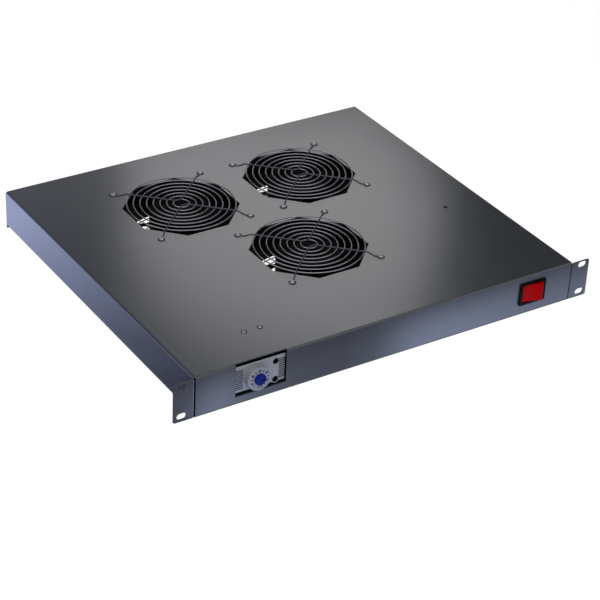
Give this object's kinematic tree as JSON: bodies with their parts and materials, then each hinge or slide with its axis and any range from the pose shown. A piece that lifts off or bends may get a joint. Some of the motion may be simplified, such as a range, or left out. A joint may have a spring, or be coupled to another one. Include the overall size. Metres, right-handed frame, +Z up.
{
  "type": "rack fan tray",
  "caption": "Flat steel rack tray with axial fans under round wire guards, a front thermostat with a dial, a rocker switch and a rear mains inlet.",
  "frame": {"origin": "middle of the ears' four slots, on the rear face of the ears where the rack rails meet them", "axes": "+X to the right seen from the front, +Y back into the rack, +Z up"},
  "size_m": [0.4826, 0.4101, 0.0486],
  "materials": {
    "tray_paint": "satin",
    "fan_plastic": "matte",
    "impeller_plastic": "matte",
    "motor_steel": "plain",
    "bearing_bronze": "sintered",
    "guard_wire": "plated",
    "zinc_steel": "zinc plated",
    "black_steel": "black oxide",
    "rail_steel": "zinc plated",
    "thermostat_plastic": "matte",
    "dial_plastic": "satin",
    "block_plastic": "matte",
    "contact_brass": "plain",
    "switch_plastic": "satin",
    "rocker_plastic": "gloss"
  },
  "bodies": {
    "tray": {"chassis": "tray_paint", "fan_frame_1": "fan_plastic", "fan_frame_2": "fan_plastic", "fan_frame_3": "fan_plastic", "motor_stators": "motor_steel", "shaft_bearings": "bearing_bronze", "guard_top_1": "guard_wire", "guard_top_2": "guard_wire", "guard_top_3": "guard_wire", "guard_bottom_1": "guard_wire", "guard_bottom_2": "guard_wire", "guard_bottom_3": "guard_wire", "guard_screws": "zinc_steel", "guard_nuts": "zinc_steel", "thermostat_housing": "thermostat_plastic", "scale_ring": "thermostat_plastic", "thermostat_cover": "thermostat_plastic", "contact_block": "block_plastic", "bimetal_strip": "contact_brass", "terminal_screws": "zinc_steel", "din_rail": "rail_steel", "rail_angle": "rail_steel", "rail_rivets": "zinc_steel", "angle_screws": "black_steel", "angle_nuts": "zinc_steel", "rail_clip": "thermostat_plastic", "wiring_cover": "tray_paint", "switch_frame": "switch_plastic", "switch_tabs": "contact_brass", "inlet_housing": "switch_plastic", "inlet_pins": "contact_brass", "inlet_screws": "zinc_steel", "inlet_nuts": "zinc_steel", "terminal_block": "block_plastic", "block_terminal_screws": "zinc_steel", "block_screw": "black_steel", "block_nut": "zinc_steel", "earth_stud": "zinc_steel", "earth_washer": "zinc_steel", "earth_nuts": "zinc_steel"},
    "impeller_1": {"impeller_1": "impeller_plastic", "rotor_1": "motor_steel"},
    "impeller_2": {"impeller_2": "impeller_plastic", "rotor_2": "motor_steel"},
    "impeller_3": {"impeller_3": "impeller_plastic", "rotor_3": "motor_steel"},
    "thermostat_dial": {"thermostat_dial": "dial_plastic"},
    "switch_rocker": {"switch_rocker": "rocker_plastic"}
  },
  "joints": [
    {"name": "impeller_1_spin", "type": "hinge", "parent": "tray", "child": "impeller_1", "pos_m": [-0.0725, 0.2848, 0], "axis": [0, 0, 1], "continuous": true},
    {"name": "impeller_2_spin", "type": "hinge", "parent": "tray", "child": "impeller_2", "pos_m": [0.0725, 0.2848, 0], "axis": [0, 0, 1], "continuous": true},
    {"name": "impeller_3_spin", "type": "hinge", "parent": "tray", "child": "impeller_3", "pos_m": [0, 0.1508, 0], "axis": [0, 0, 1], "continuous": true},
    {"name": "thermostat_dial_turn", "type": "hinge", "parent": "tray", "child": "thermostat_dial", "pos_m": [-0.1523, -0.0062, 0.0025], "axis": [0, -1, 0], "range_deg": [0, 270]},
    {"name": "switch_rock", "type": "hinge", "parent": "tray", "child": "switch_rocker", "pos_m": [0.1696, 0.0003, 0.00175], "axis": [0, 0, 1], "range_deg": [0, 30]}
  ]
}
